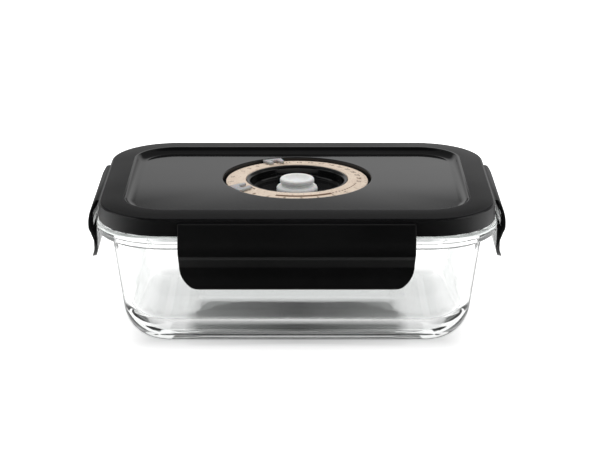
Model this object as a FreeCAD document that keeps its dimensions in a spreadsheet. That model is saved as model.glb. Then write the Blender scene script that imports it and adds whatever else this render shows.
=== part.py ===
"""Vacuum food box: a glass tray and a snap-lock lid with a date dial and a pump valve.

The origin is the centre of the base on the table, +X runs along the long side to the right,
+Y to the back and +Z up. All sizes are millimetres.
"""
import FreeCAD
import Part

import math
import os

import Sketcher

Vector = FreeCAD.Vector

# Driving dimensions, each with what it measures
SIZES = (
    ("tray_height", 70.3, "table to the top of the glass rim"),
    ("collar_height", 5.0, "upright rim above the flange"),
    ("flange_height", 6.8, "glass flange, top to bottom"),
    ("flange_reach", 7.7, "flange beyond the wall below it"),
    ("flange_top_ease", 1.9, "upper edge of the flange, cut back"),
    ("flange_foot_ease", 2.6, "lower edge of the flange, cut back"),
    ("neck_slant", 1.5, "slope from the wall to the flange"),
    ("rim_ease", 0.8, "both edges of the rim, cut back"),
    ("glass_wall", 4.0, "wall, measured level"),
    ("wall_slope", 0.137, "lean of the wall, inwards per height"),
    ("base_corner", 5.0, "plan corner of the flat floor"),
    ("glass_floor", 8.7, "top of the floor above the table"),
    ("foot_width", 3.9, "ring that the tray stands on"),
    ("foot_height", 3.0, "hollow inside the foot ring"),
    ("rim_overhang", 1.5, "flange beyond the lid's skirt"),
    ("lid_length", 206.0, "lid along X"),
    ("lid_depth", 148.5, "lid along Y"),
    ("lid_corner", 36.0, "plan corner of the lid"),
    ("lid_wall", 2.2, "skirt thickness"),
    ("lid_roof", 2.1, "lid edge above the gasket channel"),
    ("skirt_clearance", 0.6, "skirt to glass collar"),
    ("skirt_gap", 0.5, "skirt above the flange"),
    ("edge_ease", 1.2, "outer top edge of the lid, cut back"),
    ("border_width", 14.5, "raised border of the lid"),
    ("crown_rise", 1.1, "border's inner edge above its outer edge"),
    ("border_ease", 0.9, "inner edge of the border, cut back"),
    ("recess_depth", 3.0, "panel below the border's inner edge"),
    ("cove_width", 4.5, "hollow curve from border to panel"),
    ("panel_thickness", 2.0, "recessed panel"),
    ("rib_width", 1.6, "rib inside the gasket channel"),
    ("rib_drop", 2.5, "rib below the glass rim"),
    ("rib_clearance", 0.4, "rib to the inside of the glass"),
    ("gasket_height", 2.6, "seal, lid to rim"),
    ("gasket_clearance", 0.3, "seal to the sides of its channel"),
    ("gasket_bevel", 0.8, "lower edges of the seal"),
    ("dial_offset", 9.2, "dial centre towards the back"),
    ("dial_width", 10.8, "date ring, inside to outside"),
    ("dial_clearance", 0.3, "date ring to the pump well's collar"),
    ("dial_thickness", 2.6, "date ring at its outer edge"),
    ("dial_sink", 1.6, "date ring's outer edge below the panel"),
    ("dial_slope", 1.0, "date ring's inner edge above its outer edge"),
    ("dial_edge", 0.3, "bevel of the date ring"),
    ("track_depth", 2.2, "rebate under the ring's edge, inwards"),
    ("track_height", 1.3, "rebate under the ring's edge, upwards"),
    ("marker_gap", 1.7, "ring to the wall of its recess"),
    ("recess_bevel", 0.5, "upper edge of the dial recess"),
    ("pan_wall", 1.8, "wall and floor of the dial recess"),
    ("marker_angle", 15.5, "degrees that a marker covers"),
    ("marker_reach", 7.5, "fork over the ring's face"),
    ("marker_wall", 0.9, "marker outside the ring"),
    ("marker_slot", 4.0, "width of the fork's notch"),
    ("marker_bridge", 2.6, "fork behind its notch"),
    ("marker_clearance", 0.3, "marker to ring, all round"),
    ("day_angle", 111.0, "day marker from +X, degrees"),
    ("month_angle", 212.0, "month marker from +X, degrees"),
    ("cup_radius", 25.2, "pump well, inside"),
    ("cup_wall", 1.2, "pump well wall"),
    ("cup_depth", 8.0, "pump well floor below the panel"),
    ("cup_floor", 1.8, "pump well floor thickness"),
    ("cup_ease", 2.5, "pump well, wall to floor"),
    ("cup_clearance", 0.2, "pump well to the lid's hole"),
    ("collar_lip", 1.0, "pump well collar beyond its wall"),
    ("collar_rise", 3.3, "pump well collar above the recess floor"),
    ("collar_slope", 1.5, "fall of the collar's sloping face"),
    ("collar_land", 0.4, "flat top of the collar"),
    ("stem_hole", 3.4, "radius of the hole for the valve stem"),
    ("vent_radius", 1.1, "vent hole"),
    ("vent_circle", 6.5, "vent holes from the axis"),
    ("vent_count", 4.0, "vent holes"),
    ("valve_height", 7.8, "valve above the pump well floor"),
    ("valve_skirt", 11.2, "radius of the sealing skirt"),
    ("valve_cap", 9.3, "radius of the cap"),
    ("valve_waist", 8.5, "radius of the waist below the cap"),
    ("valve_dimple", 6.8, "radius of the hollow in the cap"),
    ("dimple_depth", 2.2, "hollow in the cap"),
    ("valve_edge", 0.8, "lower edge of the sealing skirt, cut back"),
    ("skirt_height", 3.7, "sealing skirt"),
    ("cap_height", 2.2, "cap, without the waist"),
    ("stem_radius", 2.7, "valve stem"),
    ("bulb_radius", 4.2, "knob that holds the stem"),
    ("bulb_height", 2.0, "knob that holds the stem"),
    ("valve_lift", 2.5, "travel of the valve"),
    ("valve_clearance", 0.1, "knob to floor at full lift"),
    ("hinge_drop", 2.2, "film hinge below the lid's edge"),
    ("film_width", 1.2, "film between lid and latch"),
    ("film_thickness", 0.5, "film hinge"),
    ("long_latch", 120.0, "front and back latches, along the lid"),
    ("short_latch", 68.0, "side latches, along the lid"),
    ("latch_drop", 34.0, "latches below the hinge"),
    ("latch_head", 1.3, "latch at the hinge"),
    ("latch_slant", 0.35, "fall of the latch's top face"),
    ("latch_bulge", 6.4, "latch beyond the lid's skirt"),
    ("latch_sweep", 23.0, "outer curve of the latch"),
    ("hook_clearance", 0.35, "hook and tab outside the flange"),
    ("hook_gap", 0.3, "hook below the flange"),
    ("hook_height", 1.2, "slope on top of the hook"),
    ("notch_room", 2.1, "notch outside the flange"),
    ("notch_head", 1.0, "notch above the flange"),
    ("shoulder_drop", 3.1, "bulge's lower shoulder below the hook"),
    ("shoulder_setback", 0.9, "that shoulder inside the bulge"),
    ("shoulder_round", 2.0, "shoulder's outer curve"),
    ("tab_start", 7.7, "flat of the tab below the hook"),
    ("tab_thickness", 2.0, "finger tab"),
    ("flare_radius", 16.0, "outward curve of the tab's tip"),
    ("flare_height", 7.5, "length of that curve"),
    ("tab_narrowing", 0.5, "tab's end narrower on each side"),
    ("tab_corner", 12.0, "tab's lower corners"),
)


class Size:
    """A number together with the sheet formula that gives it."""

    def __init__(self, value, formula):
        self.value = value
        self.formula = formula

    @staticmethod
    def of(other):
        if isinstance(other, Size):
            return other
        return Size(float(other), repr(float(other)))

    def joined(self, sign, other, value):
        return Size(value, "(%s %s %s)" % (self.formula, sign, Size.of(other).formula))

    def __add__(self, other):
        return self.joined("+", other, self.value + Size.of(other).value)

    def __sub__(self, other):
        return self.joined("-", other, self.value - Size.of(other).value)

    def __mul__(self, other):
        return self.joined("*", other, self.value * Size.of(other).value)

    def __truediv__(self, other):
        return self.joined("/", other, self.value / Size.of(other).value)

    def __neg__(self):
        return Size(-self.value, "(0 - %s)" % self.formula)


def root(size):
    return Size(math.sqrt(size.value), "sqrt(%s)" % size.formula)


def sagging(run, rise):
    """Radius of an arc that is level at one end and gains rise over run."""
    return (run * run + rise * rise) / (rise * 2)


class Dims:
    """The sheet's cells by name, each as a Size."""

    def __init__(self, sheet):
        for row, (name, value, meaning) in enumerate(SIZES, start=1):
            sheet.set("A%d" % row, name)
            sheet.set("B%d" % row, str(value))
            sheet.set("C%d" % row, meaning)
            sheet.setAlias("B%d" % row, name)
            setattr(self, name, Size(value, "%s.%s" % (sheet.Name, name)))


doc = FreeCAD.newDocument("food_box")
dims_sheet = doc.addObject("Spreadsheet::Sheet", "dims")
d = Dims(dims_sheet)
doc.recompute()

# Heights above the table that several pieces share
flange_top = d.tray_height - d.collar_height
flange_foot = flange_top - d.flange_height
channel_roof = d.tray_height + d.gasket_height
lid_edge = channel_roof + d.lid_roof
crown_top = lid_edge + d.crown_rise
panel_top = crown_top - d.recess_depth
panel_foot = panel_top - d.panel_thickness
skirt_foot = flange_top + d.skirt_gap
dial_top = panel_top - d.dial_sink
dial_floor = dial_top - d.dial_thickness
cup_top = panel_top - d.cup_depth
hinge_height = lid_edge - d.hinge_drop

# Half sizes in plan that several pieces share
lid_half_length = d.lid_length / 2
lid_half_depth = d.lid_depth / 2
cup_outside = d.cup_radius + d.cup_wall
pan_bore = cup_outside + d.cup_clearance
collar_radius = cup_outside + d.collar_lip
dial_bore = collar_radius + d.dial_clearance
dial_radius = dial_bore + d.dial_width
recess_radius = dial_radius + d.marker_gap

SUB_PARTS = []


def new_body(name):
    body = doc.addObject("PartDesign::Body", name)
    body.Label = name
    SUB_PARTS.append(body)
    return body


def bind(thing, path, size):
    thing.setExpression(path, size.formula)


def place(body, x=None, y=None, turn=0.0):
    """Put a body at x, y in plan, turned about the vertical by an angle or a Size in degrees."""
    angle = turn.value if isinstance(turn, Size) else turn
    base = Vector(x.value if x else 0.0, y.value if y else 0.0, 0.0)
    body.Placement = FreeCAD.Placement(base, FreeCAD.Rotation(Vector(0, 0, 1), angle))
    if x:
        bind(body, "Placement.Base.x", x)
    if y:
        bind(body, "Placement.Base.y", y)
    if isinstance(turn, Size):
        bind(body, "Placement.Rotation.Angle", turn)


def new_sketch(body, role, name, shift_x=None, lift=None):
    """Sketch on one of the body's own planes, moved along its first axis or its normal."""
    sketch = body.newObject("Sketcher::SketchObject", name)
    plane = next(item for item in body.Origin.OriginFeatures if item.Role == role)
    sketch.AttachmentSupport = [(plane, "")]
    sketch.MapMode = "FlatFace"
    if shift_x:
        bind(sketch, "AttachmentOffset.Base.x", shift_x)
    if lift:
        bind(sketch, "AttachmentOffset.Base.z", lift)
    return sketch


def arc_between(start, end, radius, turn):
    """Short arc from start to end; turn is 1 for anticlockwise and -1 for clockwise."""
    chord = end - start
    reach = math.sqrt(max(radius * radius - chord.Length * chord.Length / 4, 0.0))
    side = Vector(-chord.y, chord.x, 0).normalize()
    centre = (start + end) * 0.5 + side * reach * turn
    first, last = (start, end) if turn > 0 else (end, start)
    angles = [math.atan2(point.y - centre.y, point.x - centre.x) for point in (first, last)]
    return Part.ArcOfCircle(Part.Circle(centre, Vector(0, 0, 1), radius), angles[0], angles[1])


def draw(sketch, corners):
    """Closed outline through the corners, tied to the sheet.

    A corner is (x, y), reached by a line, or (x, y, radius, turn), reached by an arc.
    """
    points = [Vector(corner[0].value, corner[1].value, 0) for corner in corners]
    sides = []
    for index, corner in enumerate(corners):
        start = points[index - 1]
        if len(corner) == 2:
            side = sketch.addGeometry(Part.LineSegment(start, points[index]), False)
            sides.append((side, 1, 2))
        else:
            radius, turn = corner[2], corner[3]
            side = sketch.addGeometry(arc_between(start, points[index], radius.value, turn), False)
            sides.append((side, 1, 2) if turn > 0 else (side, 2, 1))
    for index, (side, first, last) in enumerate(sides):
        before, unused, end = sides[index - 1]
        sketch.addConstraint(Sketcher.Constraint("Coincident", before, end, side, first))
    for (side, first, last), corner in zip(sides, corners):
        measures = [("DistanceX", corner[0]), ("DistanceY", corner[1])]
        for kind, size in measures:
            mark = sketch.addConstraint(Sketcher.Constraint(kind, -1, 1, side, last, size.value))
            bind(sketch, "Constraints[%d]" % mark, size)
        if len(corner) == 4:
            mark = sketch.addConstraint(Sketcher.Constraint("Radius", side, corner[2].value))
            bind(sketch, "Constraints[%d]" % mark, corner[2])


def eased(x, y, came, leaves, size, size_out=None):
    """Corner at x, y cut back in two flats that follow a round.

    came and leaves are the directions into and out of the corner, and size is how far it is
    cut back before it and, unless size_out is given, after it.
    """
    size_out = size_out or size
    bow = 1 - math.sqrt(0.5)
    back_x, back_y = size * came[0], size * came[1]
    on_x, on_y = size_out * leaves[0], size_out * leaves[1]
    return [
        (x - back_x, y - back_y),
        (x - (back_x - on_x) * bow, y - (back_y - on_y) * bow),
        (x + on_x, y + on_y),
    ]


def rounded_rectangle(half_x, half_y, radius):
    """Corners of a rounded rectangle about the origin, from the middle of its back side."""
    in_x = half_x - radius
    in_y = half_y - radius
    zero = half_x * 0
    return [
        (zero, half_y),
        (-in_x, half_y),
        (-half_x, in_y, radius, 1),
        (-half_x, -in_y),
        (-in_x, -half_y, radius, 1),
        (in_x, -half_y),
        (half_x, -in_y, radius, 1),
        (half_x, in_y),
        (in_x, half_y, radius, 1),
    ]


def ring_sweep(body, half_x, half_y, corner, section):
    """Carry a section, drawn at the middle of the back side, round a rounded rectangle."""
    path = new_sketch(body, "XY_Plane", body.Label + "_path")
    draw(path, rounded_rectangle(half_x, half_y, corner))
    profile = new_sketch(body, "YZ_Plane", body.Label + "_section")
    draw(profile, section)
    doc.recompute()
    sweep = body.newObject("PartDesign::AdditivePipe", body.Label + "_sweep")
    sweep.Profile = profile
    sweep.Spine = path
    doc.recompute()
    return sweep


def slab(body, name, outline, foot, height, cut=False):
    """Level plate, or level pocket, of an outline between foot and foot plus height."""
    sketch = new_sketch(body, "XY_Plane", name + "_outline", lift=foot)
    draw(sketch, outline)
    feature = body.newObject("PartDesign::Pocket" if cut else "PartDesign::Pad", name)
    feature.Profile = sketch
    feature.Reversed = cut
    bind(feature, "Length", height)
    doc.recompute()
    return feature


def turned(body, name, section, shift=None, kind="Revolution", angle=None, role="YZ_Plane"):
    """Section turned about the vertical axis through the sketch's origin."""
    sketch = new_sketch(body, role, name + "_section", shift_x=shift)
    draw(sketch, section)
    feature = body.newObject("PartDesign::" + kind, name)
    feature.Profile = sketch
    feature.ReferenceAxis = (sketch, ["V_Axis"])
    if angle:
        feature.Midplane = True
        bind(feature, "Angle", angle)
    else:
        feature.Angle = 360.0
    doc.recompute()
    return feature


def glass_tray():
    """Pressed glass: rim and wall section carried round, closed by a floor on a foot ring."""
    body = new_body("glass_tray")
    half_x = lid_half_length + d.rim_overhang
    half_y = lid_half_depth + d.rim_overhang
    corner = d.lid_corner + d.rim_overhang

    slope = d.wall_slope
    lean = root(slope * slope + 1)
    collar = d.rim_overhang + d.lid_wall + d.skirt_clearance

    def wall_inset(height):
        return d.flange_reach + (flange_foot - height) * slope

    # The curve from wall to floor is as large as the plan corner of the floor leaves room for
    bowl_foot = corner - d.base_corner
    bowl_radius = (bowl_foot - d.glass_wall - wall_inset(d.glass_floor)) / (lean - slope)
    bowl_start = d.glass_floor + bowl_radius - bowl_radius * slope / lean
    heel_radius = bowl_radius + d.glass_wall
    heel_start = heel_radius - heel_radius * slope / lean
    heel_foot = wall_inset(heel_start) + heel_radius / lean
    rim_shoulder = d.tray_height - d.rim_ease
    rim_inside = wall_inset(rim_shoulder) + d.glass_wall
    neck = flange_foot - d.neck_slant
    floor_lap = d.base_corner / 10
    plate_edge = bowl_foot + floor_lap
    floor_edge = plate_edge + floor_lap
    zero = d.glass_floor * 0

    section = [
        (collar, flange_top),
        (collar, rim_shoulder),
        (collar + d.rim_ease, d.tray_height),
        (rim_inside - d.rim_ease, d.tray_height),
        (rim_inside, rim_shoulder),
        (wall_inset(bowl_start) + d.glass_wall, bowl_start),
        (bowl_foot, d.glass_floor, bowl_radius, 1),
        (floor_edge, d.glass_floor),
        (floor_edge, zero),
        (heel_foot, zero),
        (wall_inset(heel_start), heel_start, heel_radius, -1),
        (wall_inset(neck), neck),
        (wall_inset(neck) - d.neck_slant, flange_foot),
    ]
    section += eased(zero, flange_foot, (-1, 0), (0, 1), d.flange_foot_ease)
    section += eased(zero, flange_top, (0, 1), (1, 0), d.flange_top_ease)
    at_back = [(half_y - item[0], item[1]) + mirrored_arc(item) for item in section]
    ring_sweep(body, half_x, half_y, corner, at_back)

    slab(
        body,
        "glass_floor",
        rounded_rectangle(half_x - plate_edge, half_y - plate_edge, corner - plate_edge),
        zero,
        d.glass_floor,
    )
    foot = heel_foot + d.foot_width
    slab(
        body,
        "foot_hollow",
        rounded_rectangle(half_x - foot, half_y - foot, d.base_corner / 2),
        zero,
        d.foot_height,
        cut=True,
    )


def mirrored_arc(corner):
    """Radius and turn of a corner whose outline is mirrored."""
    if len(corner) == 2:
        return ()
    return (corner[2], -corner[3])


def lid_shell():
    """Moulded lid: skirt, crowned border, cove and panel, with a pan for the date ring."""
    body = new_body("lid_shell")
    slope = d.wall_slope
    rib_foot = d.tray_height - d.rib_drop
    glass_inside = d.flange_reach + (flange_foot - rib_foot) * slope + d.glass_wall - d.rim_overhang
    rib_outside = glass_inside + d.rib_clearance
    rib_inside = rib_outside + d.rib_width
    crown_end = d.border_width - d.border_ease
    cove_top = crown_top - d.border_ease
    cove_end = d.border_width + d.cove_width
    core_roof = channel_roof + d.lid_roof / 4
    core_edge = crown_end - d.border_ease
    panel_lap = cove_end + d.panel_thickness / 4

    outside = d.lid_wall * 0
    crown = (crown_end, crown_top, sagging(crown_end - d.edge_ease, d.crown_rise), -1)

    section = [(outside, skirt_foot)]
    section += eased(outside, lid_edge, (0, 1), (1, 0), d.edge_ease)
    section += [crown]
    section += eased(d.border_width, crown_top, (1, 0), (0, -1), d.border_ease)[1:]
    section += [
        (cove_end, panel_top, sagging(d.cove_width, cove_top - panel_top), 1),
        (panel_lap, panel_top),
        (panel_lap, panel_foot),
        (core_edge, panel_foot),
        (core_edge, core_roof),
        (rib_inside, core_roof),
        (rib_inside, rib_foot),
        (rib_outside, rib_foot),
        (rib_outside, channel_roof),
        (d.lid_wall, channel_roof),
        (d.lid_wall, skirt_foot),
    ]
    at_back = [(lid_half_depth - item[0], item[1]) + mirrored_arc(item) for item in section]
    ring_sweep(body, lid_half_length, lid_half_depth, d.lid_corner, at_back)

    slab(
        body,
        "lid_panel",
        rounded_rectangle(lid_half_length - cove_end, lid_half_depth - cove_end, d.lid_corner - cove_end),
        panel_foot,
        d.panel_thickness,
    )

    pan_foot = dial_floor - d.pan_wall
    pan_outside = recess_radius + d.pan_wall
    pan = [
        (pan_bore, pan_foot),
        (pan_outside, pan_foot),
        (pan_outside, panel_top),
        (pan_bore, panel_top),
    ]
    turned(body, "dial_pan", pan, shift=d.dial_offset)
    clear_top = crown_top + d.recess_depth
    recess = [
        (pan_bore * 0, pan_foot - d.pan_wall),
        (pan_bore, pan_foot - d.pan_wall),
        (pan_bore, dial_floor),
        (recess_radius, dial_floor),
        (recess_radius, panel_top - d.recess_bevel),
        (recess_radius + d.recess_bevel, panel_top),
        (recess_radius + d.recess_bevel, clear_top),
        (pan_bore * 0, clear_top),
    ]
    turned(body, "dial_recess", recess, shift=d.dial_offset, kind="Groove")
    return rib_outside


def rim_gasket(rib_outside):
    """Silicone ring in the lid's channel, flat on the glass rim."""
    body = new_body("rim_gasket")
    outside = d.lid_wall + d.gasket_clearance
    inside = rib_outside - d.gasket_clearance
    section = [
        (outside, channel_roof),
        (inside, channel_roof),
        (inside, d.tray_height + d.gasket_bevel),
        (inside - d.gasket_bevel, d.tray_height),
        (outside + d.gasket_bevel, d.tray_height),
        (outside, d.tray_height + d.gasket_bevel),
    ]
    at_back = [(lid_half_depth - item[0], item[1]) for item in section]
    ring_sweep(body, lid_half_length, lid_half_depth, d.lid_corner, at_back)


def dial_ring():
    """Date ring that falls outwards, with a rebate under its edge in which the markers hold."""
    body = new_body("dial_ring")
    place(body, y=d.dial_offset)
    track = dial_radius - d.track_depth
    track_top = dial_floor + d.track_height
    turned(
        body,
        "date_face",
        [
            (dial_bore, dial_floor),
            (track, dial_floor),
            (track, track_top),
            (dial_radius, track_top),
            (dial_radius, dial_top - d.dial_edge),
            (dial_radius - d.dial_edge, dial_top),
            (dial_bore + d.dial_edge, dial_top + d.dial_slope),
            (dial_bore, dial_top + d.dial_slope - d.dial_edge),
        ],
    )


def marker(name, angle):
    """Fork that lies on the date ring and clips under its edge."""
    body = new_body(name)
    place(body, y=d.dial_offset, turn=angle)
    gap = d.marker_clearance
    inner = dial_radius - d.marker_reach
    outer = dial_radius + gap + d.marker_wall
    lip = dial_radius - d.track_depth + gap
    lip_foot = dial_floor + gap
    lip_top = dial_floor + d.track_height - gap
    rise = d.dial_slope * d.marker_reach / d.dial_width
    turned(
        body,
        name + "_clip",
        [
            (lip, lip_foot),
            (outer, lip_foot),
            (outer, panel_top),
            (inner, panel_top + rise),
            (inner, dial_top + gap + rise),
            (dial_radius + gap, dial_top + gap),
            (dial_radius + gap, lip_top),
            (lip, lip_top),
        ],
        angle=d.marker_angle,
        role="XZ_Plane",
    )
    half_slot = d.marker_slot / 2
    slot_start = inner - d.marker_bridge
    slot_end = inner + d.marker_reach - d.marker_bridge
    slab(
        body,
        name + "_notch",
        [
            (slot_end, -half_slot),
            (slot_end, half_slot),
            (slot_start, half_slot),
            (slot_start, -half_slot),
        ],
        dial_top,
        d.dial_sink * 2,
        cut=True,
    )


def pump_cup():
    """Gloss well for the pump: collar on the recess floor, vented floor, hole for the valve."""
    body = new_body("pump_cup")
    place(body, y=d.dial_offset)
    foot = cup_top - d.cup_floor
    collar_top = dial_floor + d.collar_rise
    section = [(d.stem_hole, foot)]
    section += eased(cup_outside, foot, (1, 0), (0, 1), d.cup_wall)
    section += [
        (cup_outside, dial_floor),
        (collar_radius, dial_floor),
        (collar_radius, collar_top),
        (collar_radius - d.collar_land, collar_top),
        (d.cup_radius, collar_top - d.collar_slope),
    ]
    section += eased(d.cup_radius, cup_top, (0, -1), (-1, 0), d.cup_ease)
    section += [(d.stem_hole, cup_top)]
    turned(body, "cup_wall_turned", section)
    sketch = new_sketch(body, "XY_Plane", "vent_outline", lift=foot)
    vent_centre = Vector(d.vent_circle.value, 0, 0)
    vent = sketch.addGeometry(Part.Circle(vent_centre, Vector(0, 0, 1), d.vent_radius.value))
    sketch.addConstraint(Sketcher.Constraint("PointOnObject", vent, 3, -1))
    mark = sketch.addConstraint(Sketcher.Constraint("DistanceX", -1, 1, vent, 3, d.vent_circle.value))
    bind(sketch, "Constraints[%d]" % mark, d.vent_circle)
    mark = sketch.addConstraint(Sketcher.Constraint("Radius", vent, d.vent_radius.value))
    bind(sketch, "Constraints[%d]" % mark, d.vent_radius)
    hole = body.newObject("PartDesign::Pocket", "vent")
    hole.Profile = sketch
    hole.Reversed = True
    bind(hole, "Length", d.cup_floor)
    doc.recompute()
    pattern = body.newObject("PartDesign::PolarPattern", "vents")
    pattern.Originals = [hole]
    pattern.Axis = (sketch, ["N_Axis"])
    pattern.Angle = 360.0
    bind(pattern, "Occurrences", d.vent_count)
    body.Tip = pattern
    doc.recompute()


def valve_plug():
    """Silicone valve: skirt on the well's floor, waist, dimpled cap, stem with a knob below."""
    body = new_body("valve_plug")
    place(body, y=d.dial_offset)
    axis = d.stem_radius * 0
    top = cup_top + d.valve_height
    cap_foot = top - d.cap_height
    waist = cap_foot - (d.valve_cap - d.valve_waist)
    skirt_top = cup_top + d.skirt_height
    cap_ease = (d.valve_cap - d.valve_dimple) / 2
    dome_foot = cup_top + d.valve_edge
    bulb_top = cup_top - d.cup_floor - d.valve_lift - d.valve_clearance
    bulb_foot = bulb_top - d.bulb_height
    section = [
        (axis, bulb_foot),
        (d.stem_radius, bulb_foot),
        (d.bulb_radius, bulb_top - d.bulb_height / 4),
        (d.stem_radius, bulb_top),
        (d.stem_radius, cup_top),
        (d.valve_skirt - d.valve_edge, cup_top),
    ]
    section += eased(
        d.valve_skirt, skirt_top, (0, 1), (-1, 0), skirt_top - dome_foot, d.valve_skirt - d.valve_waist
    )
    section += [(d.valve_waist, waist), (d.valve_cap, cap_foot)]
    section += eased(d.valve_cap, top, (0, 1), (-1, 0), cap_ease)
    section += [
        (d.valve_dimple, top),
        (axis, top - d.dimple_depth, sagging(d.valve_dimple, d.dimple_depth), -1),
    ]
    turned(body, "valve_turned", section)


def hung_body(name, side):
    """Body whose own X axis points straight out of one side of the lid."""
    body = new_body(name)
    at_side = {
        "right": (lid_half_length, None, 0.0),
        "back": (None, lid_half_depth, 90.0),
        "left": (-lid_half_length, None, 180.0),
        "front": (None, -lid_half_depth, 270.0),
    }
    x, y, turn = at_side[side]
    place(body, x, y, turn)
    return body


def along_side(body, name, section, length):
    """Section of a piece that hangs from the lid, drawn out along the lid's side."""
    sketch = new_sketch(body, "XZ_Plane", name + "_section")
    draw(sketch, section)
    pad = body.newObject("PartDesign::Pad", name)
    pad.Profile = sketch
    pad.SideType = "Symmetric"
    bind(pad, "Length", length)
    doc.recompute()
    return pad


def latch(side, length):
    """Snap latch: head at the hinge, arm with a notch round the flange, hook and finger tab."""
    body = hung_body("latch_" + side, side)
    top = hinge_height + d.film_thickness / 2
    tip = hinge_height - d.latch_drop
    hook = flange_foot - d.hook_gap
    inside = d.rim_overhang + d.hook_clearance
    notch = d.rim_overhang + d.notch_room
    tab = inside + d.tab_thickness
    shoulder = d.latch_bulge - d.shoulder_setback
    arm_head = hinge_height - d.hinge_drop

    flare_outside = d.flare_radius + d.tab_thickness
    share = d.flare_height / d.flare_radius
    level = root(Size.of(1.0) - share * share)
    flare_start = tip + flare_outside * share
    tip_outside = tab + d.flare_radius - d.flare_radius * level
    tip_inside = tab + d.flare_radius - flare_outside * level

    along_side(
        body,
        "latch_%s_arm" % side,
        [
            (d.film_width, top),
            (d.film_width, arm_head),
            (notch, flange_top + d.notch_head),
            (notch, hook + d.hook_height),
            (inside, hook),
            (inside, flare_start),
            (tip_inside, tip, flare_outside, 1),
            (tip_outside, flare_start - d.flare_height),
            (tab, flare_start, d.flare_radius, -1),
            (tab, hook - d.tab_start),
            (shoulder, hook - d.shoulder_drop, sagging(d.tab_start - d.shoulder_drop, shoulder - tab), -1),
            (d.latch_bulge, hook - d.hook_height, d.shoulder_round, 1),
            (d.film_width + d.latch_head, top - d.latch_slant, d.latch_sweep, 1),
        ],
        length,
    )

    half = length / 2
    half_end = half - d.tab_narrowing
    margin = d.tab_corner
    sketch = new_sketch(body, "YZ_Plane", "latch_%s_outline" % side)
    draw(
        sketch,
        [
            (half + margin, top + margin),
            (-half - margin, top + margin),
            (-half - margin, tip - margin),
            (half + margin, tip - margin),
        ],
    )
    draw(
        sketch,
        [
            (half, top),
            (-half, top),
            (-half, hook),
            (-half_end, tip + d.tab_corner),
            (-(half_end - d.tab_corner), tip, d.tab_corner, 1),
            (half_end - d.tab_corner, tip),
            (half_end, tip + d.tab_corner, d.tab_corner, 1),
            (half, hook),
        ],
    )
    trim = body.newObject("PartDesign::Pocket", "latch_%s_trim" % side)
    trim.Profile = sketch
    trim.SideType = "Symmetric"
    bind(trim, "Length", d.latch_bulge * 4)
    doc.recompute()


def hinge_film(side, length):
    """Thin web that joins a latch to the lid and bends when the latch turns."""
    body = hung_body("hinge_film_" + side, side)
    foot = hinge_height - d.film_thickness / 2
    top = hinge_height + d.film_thickness / 2
    along_side(
        body,
        "film_" + side,
        [
            (d.film_width * 0, foot),
            (d.film_width, foot),
            (d.film_width, top),
            (d.film_width * 0, top),
        ],
        length,
    )


glass_tray()
rim_gasket(lid_shell())
pump_cup()
dial_ring()
marker("day_marker", d.day_angle)
marker("month_marker", d.month_angle)
valve_plug()
for side, length in (
    ("front", d.long_latch),
    ("back", d.long_latch),
    ("left", d.short_latch),
    ("right", d.short_latch),
):
    latch(side, length)
    hinge_film(side, length)
doc.recompute()

for item in doc.Objects:
    if "Invalid" in item.State or "Error" in item.State:
        raise RuntimeError("%s is %s" % (item.Label, item.State))
for body in SUB_PARTS:
    shape = body.Shape
    if shape.isNull() or not shape.isValid() or len(shape.Solids) != 1:
        raise RuntimeError("%s has no single valid solid" % body.Label)

os.makedirs("parts", exist_ok=True)
for body in SUB_PARTS:
    body.Shape.exportStep(os.path.join("parts", body.Label + ".step"))
    box = body.Shape.BoundBox
    print(
        "%-18s %9.1f mm3  x %7.2f %7.2f  y %7.2f %7.2f  z %6.2f %6.2f"
        % (body.Label, body.Shape.Volume, box.XMin, box.XMax, box.YMin, box.YMax, box.ZMin, box.ZMax)
    )
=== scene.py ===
import math

import bpy
import numpy as np
from mathutils.geometry import tessellate_polygon
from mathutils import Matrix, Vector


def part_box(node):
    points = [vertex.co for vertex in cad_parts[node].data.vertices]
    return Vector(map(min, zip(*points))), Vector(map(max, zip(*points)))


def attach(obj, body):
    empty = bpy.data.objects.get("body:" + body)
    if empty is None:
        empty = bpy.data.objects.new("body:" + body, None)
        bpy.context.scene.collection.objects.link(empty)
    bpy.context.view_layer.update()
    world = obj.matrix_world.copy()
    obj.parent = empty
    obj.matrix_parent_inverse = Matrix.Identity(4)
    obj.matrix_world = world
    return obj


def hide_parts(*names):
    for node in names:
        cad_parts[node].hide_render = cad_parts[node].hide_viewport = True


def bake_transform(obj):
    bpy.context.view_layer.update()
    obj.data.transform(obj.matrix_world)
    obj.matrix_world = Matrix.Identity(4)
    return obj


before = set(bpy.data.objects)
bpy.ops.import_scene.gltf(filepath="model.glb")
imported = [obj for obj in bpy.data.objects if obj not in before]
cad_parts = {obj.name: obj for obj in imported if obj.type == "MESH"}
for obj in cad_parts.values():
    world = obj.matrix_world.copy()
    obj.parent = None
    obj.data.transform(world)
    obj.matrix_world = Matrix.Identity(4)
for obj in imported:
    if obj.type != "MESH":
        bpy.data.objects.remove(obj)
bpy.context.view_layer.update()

# Glass tray: one clear pressing with tapered walls, a thick rim flange for the latches and a
# base that stands on a low foot ring. Fire-polished, so its edges are round, and its faces
# keep the slight ripple of the mould and the ring's parting line.
MM = 0.001
tray_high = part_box("glass_tray")[1]
FLANGE_HALF = np.array([tray_high.x, tray_high.y]) / MM
FLANGE_CORNER = 37.5
RIM_TOP = tray_high.z / MM
FLANGE_TOP = RIM_TOP - 5.0
FLANGE_FOOT = FLANGE_TOP - 6.8
FLANGE_REACH = 7.7
PARTING_LINE = FLANGE_FOOT + 4.0
PARTING_STEP, PARTING_DROP = 0.8, 0.7
BEVEL_REACH, BEVEL_HEIGHT = 1.7, 1.4
LAST_BOUNCE = 4.5
EDGE_START, EDGE_END = 0.72, 0.86
COLLAR_INSET = 4.3
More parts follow.
